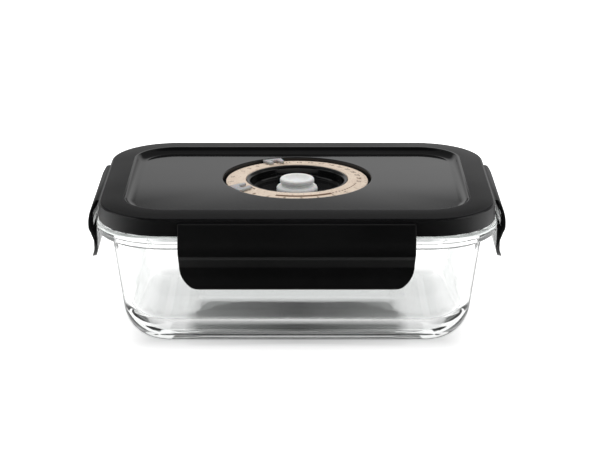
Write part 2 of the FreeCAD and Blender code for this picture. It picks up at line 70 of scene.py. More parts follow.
GLASS_WALL = 4.0
WALL_SLOPE = 0.137
GLASS_FLOOR = 8.7
BOWL_FOOT = FLANGE_CORNER - 5.0
FOOT_WIDTH = 3.9
FOOT_HEIGHT = 3.0
FOOT_RISE = 20.0
FLOOR_MIDDLE = FLANGE_HALF[1] - 2.0
LEAST_CORNER = 1.2


def unit(rows):
    """Rows scaled to length 1."""
    return rows / np.linalg.norm(rows, axis=1, keepdims=True)


def rays_at(angle):
    """Unit vectors in plan at the given angles."""
    return np.stack([np.cos(angle), np.sin(angle)], 1)


def lifted(plan, level):
    """Plan points [loop, point, xy] with a height for each loop or point."""
    return np.concatenate([plan, np.broadcast_to(level, plan.shape[:2] + (1,))], 2)


def rounded(corners, closed, steps=7):
    """Outline with round corners, from rows of (x, y, radius).

    Each corner becomes the arc that touches both of its sides: its centre lies on the bisector
    at radius / sin(half angle), and the arc is swung evenly between the two touching points.
    """
    rows = np.array(corners, float)
    points, radius = rows[:, :2], rows[:, 2]
    back = unit(np.roll(points, 1, 0) - points)
    ahead = unit(np.roll(points, -1, 0) - points)
    half = np.arccos(np.clip((back * ahead).sum(1), -1, 1)) / 2
    bisector = back + ahead
    bisector /= np.maximum(np.linalg.norm(bisector, axis=1, keepdims=True), 1e-9)
    centre = points + bisector * (radius / np.sin(half))[:, None]
    reach = (radius / np.tan(half))[:, None]
    first = points + back * reach - centre
    last = points + ahead * reach - centre
    swing = np.maximum(np.pi - 2 * half, 1e-6)[:, None]
    share = np.linspace(0, 1, steps)
    weight_first = np.sin((1 - share) * swing) / np.sin(swing)
    weight_last = np.sin(share * swing) / np.sin(swing)
    arcs = first[:, None] * weight_first[..., None] + last[:, None] * weight_last[..., None]
    outline = (centre[:, None] + arcs).reshape(-1, 2)
    if not closed:
        outline = outline[steps - 1 : len(outline) - steps + 1]
    apart = np.linalg.norm(outline - np.roll(outline, 1, 0), axis=1) > 1e-6
    return outline[apart]


def round_rectangle_path(half, corner, on_long=44, on_short=32, on_corner=18):
    """Path round a rectangle with round corners: its half sizes, corner, corner centres and normals.

    The normals swing a quarter turn at each corner centre and stand still along the sides between.
    """
    half = np.array(half)
    inner = half - corner
    signs = np.array([[1, 1], [-1, 1], [-1, -1], [1, -1]])
    centres, normals = [], []
    for number, sign in enumerate(signs):
        turn = np.pi / 2 * (number + np.linspace(0, 1, on_corner))
        centres.append(np.repeat([inner * sign], on_corner, 0))
        normals.append(rays_at(turn))
        count = on_long if number % 2 == 0 else on_short
        share = np.linspace(0, 1, count + 2)[1:-1, None]
        following = inner * signs[(number + 1) % 4]
        centres.append(inner * sign * (1 - share) + following * share)
        normals.append(np.repeat(normals[-1][-1:], count, 0))
    return half, corner, np.vstack(centres), np.vstack(normals)


def carried(outline, path):
    """Loops of an outline of (inset, height) carried round a path, as an array [loop, point, xyz].

    A point is centre * scale + normal * radius with radius = corner - inset. Further in than the
    corner, the least radius is kept and the centres are drawn together instead.
    """
    half, corner, centres, normals = path
    inset = outline[:, :1]
    radius = np.maximum(corner - inset, LEAST_CORNER)
    scale = (half - inset - radius) / (half - corner)
    plan = centres[None] * scale[:, None] + normals[None] * radius[:, None]
    return lifted(plan, outline[:, 1, None, None])


def surface(loops, wrap=False, caps=True):
    """Skin over loops in millimetres: points in metres, quads between the loops, and flat end caps.

    All faces are turned outwards by the sign of the enclosed volume, the sum of a . (b x c + c x d)
    over the quads a b c d, with the caps' share from their middle points.
    """
    count, around = loops.shape[:2]
    points = loops.reshape(-1, 3) * MM
    grid = np.arange(count * around).reshape(count, around)
    grid = np.pad(grid, ((0, int(wrap)), (0, 1)), mode="wrap")
    quads = np.stack([grid[:-1, :-1], grid[:-1, 1:], grid[1:, 1:], grid[1:, :-1]], 2).reshape(-1, 4)
    ends = []
    a, b, c, d = points[quads].transpose(1, 0, 2)
    volume = (a * (np.cross(b, c) + np.cross(c, d))).sum()
    if caps and not wrap:
        ends = [np.arange(around)[::-1], np.arange((count - 1) * around, count * around)]
        for end in ends:
            ring = points[end]
            volume += (ring.mean(0) * np.cross(ring, np.roll(ring, -1, 0)).sum(0)).sum()
    if volume < 0:
        quads, ends = quads[:, ::-1], [end[::-1] for end in ends]
    return points, quads, ends


def new_piece(name, points, quads, ends=(), sharp=35.0):
    """Mesh object, smooth but for edges sharper than an angle in degrees."""
    mesh = bpy.data.meshes.new(name)
    mesh.from_pydata(points.tolist(), [], quads.tolist() + [end.tolist() for end in ends])
    mesh.shade_smooth()
    mesh.set_sharp_from_angle(angle=math.radians(sharp))
    piece = bpy.data.objects.new(name, mesh)
    bpy.context.collection.objects.link(piece)
    return piece


def wall_inset(height):
    """Inset of the outer wall, which leans in towards the base."""
    return FLANGE_REACH + (FLANGE_FOOT - height) * WALL_SLOPE


def tray_outline():
    """Tray section as (inset, height): floor, bowl, wall, rim, flange, wall, heel, foot and hollow.

    The bowl's radius is what its foot leaves room for beside the leaning wall, and the heel's is
    larger by the wall. The hollow rises by the smooth step 3 s^2 - 2 s^3.
    """
    lean = math.hypot(1, WALL_SLOPE)
    bowl_radius = (BOWL_FOOT - GLASS_WALL - wall_inset(GLASS_FLOOR)) / (lean - WALL_SLOPE)
    heel_radius = bowl_radius + GLASS_WALL
    foot_inner = wall_inset(0) + heel_radius * (lean - WALL_SLOPE) + FOOT_WIDTH
    corners = [
        (BOWL_FOOT + 4.0, GLASS_FLOOR, 0),
        (wall_inset(GLASS_FLOOR) + GLASS_WALL, GLASS_FLOOR, bowl_radius),
        (wall_inset(RIM_TOP) + GLASS_WALL, RIM_TOP, 1.3),
        (COLLAR_INSET, RIM_TOP, 1.1), (COLLAR_INSET, FLANGE_TOP, 0.9),
        (0, FLANGE_TOP, 2.0), (0, PARTING_LINE, 0.25),
        (PARTING_STEP, PARTING_LINE - PARTING_DROP, 0.3),
        (PARTING_STEP, FLANGE_FOOT + BEVEL_HEIGHT, 0.5),
        (PARTING_STEP + BEVEL_REACH, FLANGE_FOOT, 0.5),
        (wall_inset(FLANGE_FOOT), FLANGE_FOOT, 1.5),
        (wall_inset(0), 0, heel_radius), (foot_inner, 0, 0),
    ]
    body = rounded(corners, closed=False, steps=13)
    middle = np.linspace(FLOOR_MIDDLE, BOWL_FOOT + 5.0, 6)
    floor = np.stack([middle, np.full(6, GLASS_FLOOR)], 1)
    share = np.linspace(0, 1, 14)
    rise = FOOT_HEIGHT * (3 * share**2 - 2 * share**3)
    hollow = np.stack([foot_inner + FOOT_RISE * share, rise], 1)[1:]
    return np.vstack([floor, body, hollow, [(FLOOR_MIDDLE, FOOT_HEIGHT)]])


flange_path = round_rectangle_path(FLANGE_HALF, FLANGE_CORNER)
glass_tray = new_piece("clear_tray", *surface(carried(tray_outline(), flange_path)), sharp=60.0)


def new_material(name):
    """Node material with its nodes and Principled shader."""
    material = bpy.data.materials.new(name)
    material.use_nodes = True
    nodes = material.node_tree.nodes
    return material, nodes, nodes["Principled BSDF"]


def feed(node, inputs):
    """Inputs of a node, by name or number: sockets are linked, and plain values are set."""
    for label, value in inputs.items():
        if isinstance(value, bpy.types.NodeSocket):
            node.id_data.links.new(value, node.inputs[label])
        else:
            node.inputs[label].default_value = value


def new_group(name, inputs, outputs):
    """Empty shader node group; its inputs and outputs are numbers, but for an output named Normal."""
    group = bpy.data.node_groups.new(name, "ShaderNodeTree")
    for label in inputs:
        group.interface.new_socket(label, in_out="INPUT", socket_type="NodeSocketFloat")
    for label in outputs:
        kind = "NodeSocketVector" if label == "Normal" else "NodeSocketFloat"
        group.interface.new_socket(label, in_out="OUTPUT", socket_type=kind)
    nodes = group.nodes
    return group, nodes, nodes.new("NodeGroupInput"), nodes.new("NodeGroupOutput")


def noise(nodes, scale, detail=2.0, stretch=None):
    """Noise on object coordinates, its scale a number or a socket, stretched along x, y, z if asked."""
    place = nodes.new("ShaderNodeTexCoord").outputs["Object"]
    if stretch:
        mapping = nodes.new("ShaderNodeMapping")
        feed(mapping, {"Vector": place, "Scale": stretch})
        place = mapping.outputs["Vector"]
    texture = nodes.new("ShaderNodeTexNoise")
    feed(texture, {"Vector": place, "Scale": scale, "Detail": detail})
    return texture.outputs["Fac"]


def spread(value, low, high, start=0.3, end=0.7):
    """Value taken from the range start to end, where noise lies, to the range low to high."""
    node = value.id_data.nodes.new("ShaderNodeMapRange")
    feed(node, {"Value": value, "From Min": start, "From Max": end, "To Min": low, "To Max": high})
    return node.outputs["Result"]


def blend_colours(share, first, second):
    """Colour between two, each three numbers or a socket, by a share.

    The colours of a mix node are its inputs 6 and 7 and its output 2.
    """
    node = share.id_data.nodes.new("ShaderNodeMix")
    node.data_type = "RGBA"
    feed(node, {0: share})
    for place, colour in ((6, first), (7, second)):
        feed(node, {place: (*colour, 1) if isinstance(colour, tuple) else colour})
    return node.outputs[2]


def bumped(value, height):
    """Normal of a bump that follows a value, with its height in metres from a socket."""
    bump = value.id_data.nodes.new("ShaderNodeBump")
    feed(bump, {"Height": value, "Distance": height})
    return bump.outputs["Normal"]


def mould_ripple_group():
    """Slow ripple that a mould leaves: soft noise and its bump, by scale and height in metres."""
    group, nodes, given, result = new_group("mould_ripple", ("Scale", "Height"), ("Ripple", "Normal"))
    wave = noise(nodes, given.outputs["Scale"])
    feed(result, {"Ripple": wave, "Normal": bumped(wave, given.outputs["Height"])})
    return group


mould_ripple = mould_ripple_group()


def use_group(nodes, group, **values):
    """Node that places a group with its own input values."""
    node = nodes.new("ShaderNodeGroup")
    node.node_tree = group
    feed(node, values)
    return node


def math_node(operation, first, second):
    """Result of a math node on a socket and a second input, a socket or a number."""
    node = first.id_data.nodes.new("ShaderNodeMath")
    node.operation = operation
    feed(node, {0: first, 1: second})
    return node.outputs["Value"]


def mixed(share, first, second):
    """Mix of two shaders by a share."""
    mix = share.id_data.nodes.new("ShaderNodeMixShader")
    feed(mix, {0: share, 1: first, 2: second})
    return mix.outputs["Shader"]


def pressed_glass():
    """Clear soda glass with the mould's ripple and a faint haze, and painted shade: its colour turns dark
    where it is seen edge-on.

    Light for shadows passes straight through it, and so does a ray that is still inside the walls
    after LAST_BOUNCE turns, so that thick corners stay clear.
    """
    material, nodes, glass = new_material("pressed_glass")
    edge = nodes.new("ShaderNodeLayerWeight")
    grazing = spread(edge.outputs["Facing"], 0.0, 1.0, EDGE_START, EDGE_END)
    # Painted shade: towards a grazing view the colour falls to nearly black, standing in for the dark lines
    # that the glass's rounds take from their surroundings.
    tint = blend_colours(grazing, (0.97, 0.975, 0.973), (0.05, 0.06, 0.055))
    ripple = use_group(nodes, mould_ripple, Scale=30.0, Height=0.00004)
    haze = spread(ripple.outputs["Ripple"], 0.0, 0.02)
    feed(glass, {"Base Color": tint, "Transmission Weight": 1.0, "IOR": 1.5})
    feed(glass, {"Roughness": haze, "Normal": ripple.outputs["Normal"]})
    ray = nodes.new("ShaderNodeLightPath")
    dim = math_node("MAXIMUM", ray.outputs["Is Shadow Ray"], ray.outputs["Is Diffuse Ray"])
    deep = math_node("GREATER_THAN", ray.outputs["Ray Depth"], LAST_BOUNCE)
    clear = nodes.new("ShaderNodeBsdfTransparent")
    feed(clear, {"Color": (0.88, 0.89, 0.885, 1)})
    surface_mix = mixed(math_node("MAXIMUM", dim, deep), glass.outputs["BSDF"], clear.outputs["BSDF"])
    feed(nodes["Material Output"], {"Surface": surface_mix})
    return material


glass_tray.data.materials.append(pressed_glass())
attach(glass_tray, "tray")
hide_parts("glass_tray")

# Rim gasket: a soft silicone ring pressed into the channel under the lid's border. It lies on
# the glass rim and shows as a pale line through the collar of the glass.
lid_low, lid_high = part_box("lid_shell")
LID_HALF = np.array([lid_high.x, lid_high.y]) / MM
LID_CORNER = 36.0
LID_WALL = 2.2
SKIRT_FOOT = lid_low.z / MM
CROWN_TOP = lid_high.z / MM
LID_EDGE = CROWN_TOP - 1.1
CHANNEL_ROOF = LID_EDGE - 2.1
RIB_OUTSIDE = 9.33
gasket_low, gasket_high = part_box("rim_gasket")
GASKET_OUTSIDE = LID_HALF[0] - gasket_high.x / MM
GASKET_INSIDE = RIB_OUTSIDE - 0.3
GASKET_FOOT = gasket_low.z / MM + 0.02
SKIN_DEPTH = 0.0015
gasket_corners = [
    (GASKET_OUTSIDE, CHANNEL_ROOF, 0.2), (GASKET_INSIDE, CHANNEL_ROOF, 0.2),
    (GASKET_INSIDE, GASKET_FOOT, 0.9), (GASKET_OUTSIDE, GASKET_FOOT, 0.9),
]
lid_path = round_rectangle_path(LID_HALF, LID_CORNER)
gasket_loops = carried(rounded(gasket_corners, closed=True), lid_path)
rim_gasket = new_piece("rim_seal", *surface(gasket_loops, wrap=True))


def rippled(name, scale, height, dark, light, rough=None):
    """Material whose tone and bump, and roughness if its range is given, follow a mould's ripple."""
    material, nodes, shader = new_material(name)
    ripple = use_group(nodes, mould_ripple, Scale=scale, Height=height)
    wave = ripple.outputs["Ripple"]
    tone = blend_colours(spread(wave, 0.0, 1.0), dark, light)
    feed(shader, {"Base Color": tone, "Normal": ripple.outputs["Normal"]})
    if rough:
        feed(shader, {"Roughness": spread(wave, *rough)})
    return material, nodes, shader


def silicone(name, dark, light):
    """Matte silicone: a bloom of two tones, soft ripple and a little light under the skin."""
    material, _, shader = rippled(name, 700.0, 0.00002, dark, light, (0.45, 0.6))
    feed(shader, {"Subsurface Weight": 0.12, "Subsurface Scale": SKIN_DEPTH, "Specular IOR Level": 0.35})
    return material


rim_gasket.data.materials.append(silicone("grey_seal", (0.45, 0.45, 0.45), (0.50, 0.50, 0.50)))
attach(rim_gasket, "lid")
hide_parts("rim_gasket")

# Lid shell: one black polypropylene moulding, held down by its latches. Its border is crowned and
# finely textured, its edge is rubbed to a shine and painted lighter, partly as wear and partly as a
# painted highlight, a cove leads down to a polished panel, and a round recess in the panel holds the date
# ring.
BORDER_WIDTH = 14.5
BORDER_EASE = 0.9
EDGE_ROUND, EDGE_RISE, EDGE_FALL = 1.2, 0.26, 0.16
CROWN_START = 1.6
CROWN_END = BORDER_WIDTH - 1.9
COVE_END = BORDER_WIDTH + 4.5
PANEL_TOP = CROWN_TOP - 3.0
PANEL_FOOT = PANEL_TOP - 2.0
RIB_INSIDE = RIB_OUTSIDE + 1.6
RIB_FOOT = RIM_TOP - 2.5
CORE_EDGE = 12.7
CORE_ROOF = CHANNEL_ROOF + 0.5
ring_low, ring_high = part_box("dial_ring")
DIAL_CENTRE = np.array([ring_low.x + ring_high.x, ring_low.y + ring_high.y]) / 2 / MM
DIAL_RADIUS = ring_high.x / MM
DIAL_SLOPE = 1.0
DIAL_TOP = ring_high.z / MM - DIAL_SLOPE
DIAL_FLOOR = ring_low.z / MM
RECESS_RADIUS = DIAL_RADIUS + 1.7
PAN_BORE = 26.6
PAN_FOOT = DIAL_FLOOR - 1.8
PAN_OUTSIDE = RECESS_RADIUS + 1.8
SHARP_BEND = 1.0


def border_outline():
    """Skirt, round edge and crown as (inset, height); the crown's height is rise * (1 - (1 - s)^2)."""
    start = LID_EDGE + EDGE_RISE
    corners = [(0, SKIRT_FOOT, 0), (0, start - EDGE_FALL, EDGE_ROUND), (CROWN_START, start, 0)]
    edge = rounded(corners, closed=False)
    share = np.linspace(0, 1, 16)
    inset = CROWN_START + (CROWN_END - CROWN_START) * share
    height = start + (CROWN_TOP - start) * (1 - (1 - share) ** 2)
    return np.vstack([edge, np.stack([inset, height], 1)[1:]])


def cove_outline():
    """Eased inner edge of the border and the cove, an arc that comes out level with the panel."""
    run, rise = COVE_END - BORDER_WIDTH, CROWN_TOP - BORDER_EASE - PANEL_TOP
    radius = (run**2 + rise**2) / (2 * rise)
    lean = math.asin(run / radius)
    swing = np.linspace(lean, 0, 18)
    cove = np.stack([COVE_END - radius * np.sin(swing), PANEL_TOP + radius * (1 - np.cos(swing))], 1)
    peak = BORDER_WIDTH - BORDER_EASE / math.tan(lean)
    ease = rounded([(CROWN_END + 0.3, CROWN_TOP, 0), (peak, CROWN_TOP, 0.8), (*cove[0], 0)], closed=False)
    return np.vstack([ease, cove[1:]])


def turned(outline, rays):
    """Loops of an outline of (radius, height) turned about the dial's axis, one point on each ray."""
    return lifted(DIAL_CENTRE + rays[None] * outline[:, :1, None], outline[:, 1, None, None])


def cross(first, second):
    """Cross products of rows of plan vectors."""
    return first[:, 0] * second[:, 1] - first[:, 1] * second[:, 0]


def edge_share(outline, outward):
    """How sharply an outline bends outwards at each point: its turn per millimetre, from 0 to 1."""
    before = outline - np.roll(outline, 1, 0)
    after = np.roll(outline, -1, 0) - outline
    length = np.linalg.norm(before, axis=1) + np.linalg.norm(after, axis=1)
    turn = np.arctan2(cross(before, after), (before * after).sum(1))
    return np.clip(outward * 2 * turn / length / SHARP_BEND, 0, 1)


def set_marks(piece, shape, **marks):
    """Point attributes of a piece made from loops, each with a value for every loop or point."""
    for name, values in marks.items():
        attribute = piece.data.attributes.new(name, "FLOAT", "POINT")
        attribute.data.foreach_set("value", np.broadcast_to(values, shape).astype(np.float32).ravel())


def lid_shell_skin():
    """The lid as one closed tube of loops: top, recess on rays of the dial, and underside."""
    border, cove = border_outline(), cove_outline()
    corners = [
        (RECESS_RADIUS + 1.2, PANEL_TOP, 0), (RECESS_RADIUS, PANEL_TOP, 0.5),
        (RECESS_RADIUS, DIAL_FLOOR, 0.3), (PAN_BORE, DIAL_FLOOR, 0),
        (PAN_BORE, PAN_FOOT, 0), (PAN_OUTSIDE, PAN_FOOT, 0.6), (PAN_OUTSIDE, PANEL_FOOT, 0),
    ]
    recess = rounded(corners, closed=False)
    inset = [CORE_EDGE, CORE_EDGE, RIB_INSIDE, RIB_INSIDE, RIB_OUTSIDE, RIB_OUTSIDE, LID_WALL, LID_WALL]
    height = [PANEL_FOOT, CORE_ROOF, CORE_ROOF, RIB_FOOT, RIB_FOOT, CHANNEL_ROOF, CHANNEL_ROOF, SKIRT_FOOT]
    under = np.stack([inset, height], 1)
    rays = unit(carried(cove[-1:], lid_path)[0, :, :2] - DIAL_CENTRE)
    top = np.vstack([border, cove])
    loops = np.vstack([carried(top, lid_path), turned(recess, rays), carried(under, lid_path)])
    # The edge mark lightens the colour at convex bends: partly wear, partly a painted highlight.
    wear = np.zeros(len(loops))
    wear[1 : len(top) - 1] = edge_share(top, -1)[1:-1]
    polish = np.zeros(len(loops))
    polish[: len(border)] = wear[: len(border)]
    polish[len(border) : len(top)] = 1
    polish[len(top) : len(top) + len(recess)] = recess[:, 1] > PANEL_TOP - 0.3
    piece = new_piece("lid_moulding", *surface(loops, wrap=True))
    set_marks(piece, loops.shape[:2], polish=polish[:, None], wear=wear[:, None])
    return piece


def mould_grain_group():
    """Spark-eroded mould texture: the bump of a fine grain, and slow flow marks."""
    group, nodes, given, result = new_group("mould_grain", ("Scale", "Height"), ("Flow", "Normal"))
    grain = noise(nodes, given.outputs["Scale"], detail=3.0)
    flow = noise(nodes, 22.0, detail=3.0)
    feed(result, {"Flow": flow, "Normal": bumped(grain, given.outputs["Height"])})
    return group


def own_mark(nodes, name):
    """Value of a piece's own point attribute."""
    node = nodes.new("ShaderNodeAttribute")
    node.attribute_name = name
    return node.outputs["Fac"]


def edge_wear_and_highlight_group():
    """Handling wear and a painted highlight: the piece's own edge mark, broken up by noise, as a mask."""
    group, nodes, given, result = new_group("edge_wear_and_highlight", ("Amount",), ("Mask",))
    patches = spread(noise(nodes, 300.0, detail=4.0), 0.2, 1.0)
    worn_and_lit = math_node("MULTIPLY", own_mark(nodes, "wear"), patches)
    feed(result, {"Mask": math_node("MULTIPLY", worn_and_lit, given.outputs["Amount"])})
    return group


mould_grain = mould_grain_group()
edge_wear_and_highlight = edge_wear_and_highlight_group()


def moulded_black(name, tint, rough, rough_polished):
    """Black moulded plastic: fine grain, flow marks in tone and gloss, a polished part, and rubbed edges
    painted lighter as wear and as a painted highlight.
    """
    material, nodes, shader = new_material(name)
    grain = use_group(nodes, mould_grain, Scale=2600.0, Height=0.000006)
    flow = grain.outputs["Flow"]
    rubbed_and_lit = use_group(nodes, edge_wear_and_highlight, Amount=0.7).outputs["Mask"]
    dark, light = tuple(0.8 * part for part in tint), tuple(1.25 * part for part in tint)
    # The lighter edge colour is partly wear and partly a painted highlight along the edges.
    worn_and_lit = tuple(3.0 * part for part in tint)
    tone = blend_colours(spread(flow, 0.0, 1.0), dark, light)
    gloss = nodes.new("ShaderNodeMix")
    satin = spread(flow, rough - 0.03, rough + 0.03)
    bright = spread(flow, rough_polished - 0.01, rough_polished + 0.02)
    feed(gloss, {"Factor": own_mark(nodes, "polish"), "A": satin, "B": bright})
    feed(shader, {"Base Color": blend_colours(rubbed_and_lit, tone, worn_and_lit), "Roughness": gloss.outputs["Result"]})
    feed(shader, {"Normal": grain.outputs["Normal"]})
    return material


lid_shell = lid_shell_skin()
lid_shell.data.materials.append(moulded_black("lid_black", (0.004, 0.004, 0.0043), 0.42, 0.06))
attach(lid_shell, "lid")
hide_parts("lid_shell")

# Pump cup: gloss black well that the hand pump seats in, pushed into the lid's hole so that its
# collar lies on the recess floor. Four vents in its floor open under the valve's skirt.
cup_low, cup_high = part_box("pump_cup")
CUP_FOOT = cup_low.z / MM
CUP_COLLAR_TOP = cup_high.z / MM
CUP_COLLAR = cup_high.x / MM
CUP_RADIUS = 25.2
CUP_OUTSIDE = 26.4
CUP_FLOOR = CUP_FOOT + 1.8
CUP_AROUND = 128
STEM_HOLE = 3.4
VENT_RADIUS = 1.1
VENT_CIRCLE = 6.5
VENT_FIELD = 9.6
LIP_FALL = 1.5
LIP_LAND = 0.4


def cup_outline():
    """Cup section as (radius, height) from its foot; the lip is a quarter ellipse from collar to wall."""
    swing = np.linspace(np.pi / 2, 0, 10)[:, None]
    span = np.array([[CUP_COLLAR - LIP_LAND - CUP_RADIUS, LIP_FALL]])
    lip = [CUP_RADIUS, CUP_COLLAR_TOP - LIP_FALL] + span * np.hstack([1 - np.cos(swing), np.sin(swing)])
    outside = [
        (VENT_FIELD, CUP_FOOT, 0), (CUP_OUTSIDE, CUP_FOOT, 1.2), (CUP_OUTSIDE, DIAL_FLOOR, 0),
        (CUP_COLLAR, DIAL_FLOOR, 0), (CUP_COLLAR, CUP_COLLAR_TOP, 0.2),
    ]
    inside = [(CUP_RADIUS, CUP_FLOOR, 2.4), (VENT_FIELD, CUP_FLOOR, 0)]
    rows = [outside, np.hstack([lip, np.zeros((len(lip), 1))]), inside]
    return rounded(np.vstack(rows), closed=False, steps=9)


def even_rays(count):
    """Unit vectors evenly round a circle."""
    return rays_at(np.linspace(0, 2 * np.pi, count, endpoint=False))


def spun(plan, turn):
    """Plan points about the origin turned by an angle and moved onto the dial's axis."""
    spin = np.array([[math.cos(turn), math.sin(turn)], [-math.sin(turn), math.cos(turn)]])
    return plan @ spin + DIAL_CENTRE


def vent_patch(turn, side):
    """A quarter of the cup floor with a round vent: its border, drawn in to the vent and down through it.

    The border runs over the quarter's two arcs and two straight sides; each of its points is
    joined to the point of the vent that lies in the same direction from the vent's centre.
    """
    swing = np.linspace(-np.pi / 4, np.pi / 4, side + 1)
    span = np.linspace(STEM_HOLE, VENT_FIELD, side + 1)
    same = np.ones(side)
    angle = np.concatenate([swing[:-1], same * np.pi / 4, swing[:0:-1], same * -np.pi / 4])
    radius = np.concatenate([same * VENT_FIELD, span[:0:-1], same * STEM_HOLE, span[:-1]])
    border = radius[:, None] * rays_at(angle)
    vent = [VENT_CIRCLE, 0] + unit(border - [VENT_CIRCLE, 0]) * VENT_RADIUS
    plan = spun(np.stack([border, vent, vent, border]), turn)
    height = np.array([CUP_FLOOR, CUP_FLOOR, CUP_FOOT, CUP_FOOT])
    return lifted(plan, height[:, None, None])


def welded(name, surfaces):
    """One piece from several surfaces, with the points that they share merged."""
    points = np.vstack([part[0] for part in surfaces])
    starts = np.cumsum([0] + [len(part[0]) for part in surfaces])
    cells = np.round(points / 1e-7)
    _, first, place = np.unique(cells, axis=0, return_index=True, return_inverse=True)
    place = place.reshape(-1)
    quads = [place[part[1] + start] for part, start in zip(surfaces, starts)]
    ends = [place[end + start] for part, start in zip(surfaces, starts) for end in part[2]]
    return new_piece(name, points[first], np.vstack(quads), ends)


cup_rays = even_rays(CUP_AROUND)
stem_outline = np.array([(STEM_HOLE, CUP_FLOOR), (STEM_HOLE, CUP_FOOT)])
cup_surfaces = [
    surface(turned(cup_outline(), cup_rays), caps=False),
    surface(turned(stem_outline, cup_rays)[:, ::-1], caps=False),
]
for quarter in range(4):
    patch = vent_patch(math.pi / 2 * quarter, CUP_AROUND // 4)
    cup_surfaces.append(surface(patch, caps=False))
pump_cup = welded("pump_well", cup_surfaces)


def polished_black():
    """Gloss black plastic with a faint haze and fine level rub marks left by the pump."""
    dark, light = (0.003, 0.003, 0.003), (0.006, 0.006, 0.0066)
    material, nodes, shader = rippled("polished_black", 60.0, 0.00003, dark, light)
    rub = noise(nodes, 400.0, stretch=(1.0, 1.0, 12.0))
    feed(shader, {"Roughness": spread(rub, 0.06, 0.13)})
    return material


pump_cup.data.materials.append(polished_black())
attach(pump_cup, "lid")
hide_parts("pump_cup")

# Date ring: beige ring laid in the recess round the pump cup, matte, falling a little outwards,
# with days and months printed on it in brown. A rebate under its edge holds the two markers.
DIAL_BORE = CUP_COLLAR + 0.3
TRACK = DIAL_RADIUS - 2.2
TRACK_TOP = DIAL_FLOOR + 1.3
ring_corners = [
    (DIAL_BORE, DIAL_FLOOR, 0), (TRACK, DIAL_FLOOR, 0), (TRACK, TRACK_TOP, 0),
    (DIAL_RADIUS, TRACK_TOP, 0.2), (DIAL_RADIUS, DIAL_TOP, 0.4),
    (DIAL_BORE, DIAL_TOP + DIAL_SLOPE, 0.4),
]
ring_outline = rounded(ring_corners, closed=True, steps=6)
dial_ring = new_piece("date_ring", *surface(turned(ring_outline, even_rays(180)), wrap=True))


def printed_beige():
    """Matte beige plastic, cloudy in tone, with sparse brown specks of filler."""
    material, nodes, shader = new_material("printed_beige")
    cloud = spread(noise(nodes, 160.0, detail=4.0), 0.0, 1.0)
    beige = blend_colours(cloud, (0.69, 0.56, 0.45), (0.77, 0.65, 0.53))
    specks = spread(noise(nodes, 1100.0), 0.0, 0.7, 0.6, 0.7)
    colour = blend_colours(specks, beige, (0.32, 0.2, 0.12))
    grain = use_group(nodes, mould_grain, Scale=1800.0, Height=0.00001)
    rough = spread(grain.outputs["Flow"], 0.55, 0.65)
    feed(shader, {"Base Color": colour, "Roughness": rough, "Specular IOR Level": 0.3})
    feed(shader, {"Normal": grain.outputs["Normal"]})
    return material


dial_ring.data.materials.append(printed_beige())
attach(dial_ring, "lid")
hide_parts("dial_ring")

# Dial print: day and month numbers, ticks, dots and rules, screen-printed in brown on the date
# ring. Days, each second one numbered, run round the back and right, and months round the front
# and left, each under its marker.
PRINT_LIFT = 0.015
DAYS = (31, 2, 152.0, -160.0, 2.3, 33.6)
MONTHS = (12, 1, 332.0, -160.0, 1.9, 35.3)
DOT_COUNT, DOT_START, DOT_SPAN, DOT_SIZE, DOT_RADIUS = 11, -15.0, -39.0, 1.0, 32.6
TICK_WIDTH, TICK_LENGTH, TICK_RADIUS = 0.24, 1.1, DIAL_RADIUS - 1.3
RULES = ((32.8, 2.0, 304.0, -54.0), (29.8, 0.9, 121.0, -22.0), (30.0, 0.9, 222.0, -14.0))
RULE_STEPS = 32
STROKE_GAIN = 0.05
SQUARE = np.array([(-1, -1), (1, -1), (1, 1), (-1, 1)])


def number_mesh(text, height):
    """Points and faces of a bold number as a flat mesh, centred, with digits of the given height."""
    curve = bpy.data.curves.new("number", "FONT")
    curve.body = text
    curve.size = height / 0.7
    curve.offset = STROKE_GAIN * height
    curve.align_x = "CENTER"
    curve.align_y = "CENTER"
    curve.resolution_u = 3
    holder = bpy.data.objects.new("number", curve)
    bpy.context.collection.objects.link(holder)
    bpy.context.view_layer.update()
    mesh = holder.to_mesh()
    place = np.zeros(len(mesh.vertices) * 3, np.float32)
    mesh.vertices.foreach_get("co", place)
    faces = [np.array(face.vertices) for face in mesh.polygons]
    holder.to_mesh_clear()
    bpy.data.objects.remove(holder)
    bpy.data.curves.remove(curve)
    return place.reshape(-1, 3)[:, :2].astype(float), faces


def set_on_dial(flat, radius, angle):
    """Flat points bent onto the ring's face: y goes out from a radius and x runs clockwise round it."""
    reach = radius + flat[:, 1]
    turn = angle - flat[:, 0] / radius
    plan = DIAL_CENTRE + reach[:, None] * rays_at(turn)
    fall = DIAL_SLOPE * (DIAL_RADIUS - reach) / (DIAL_RADIUS - DIAL_BORE)
    return np.column_stack([plan, DIAL_TOP + fall + PRINT_LIFT])


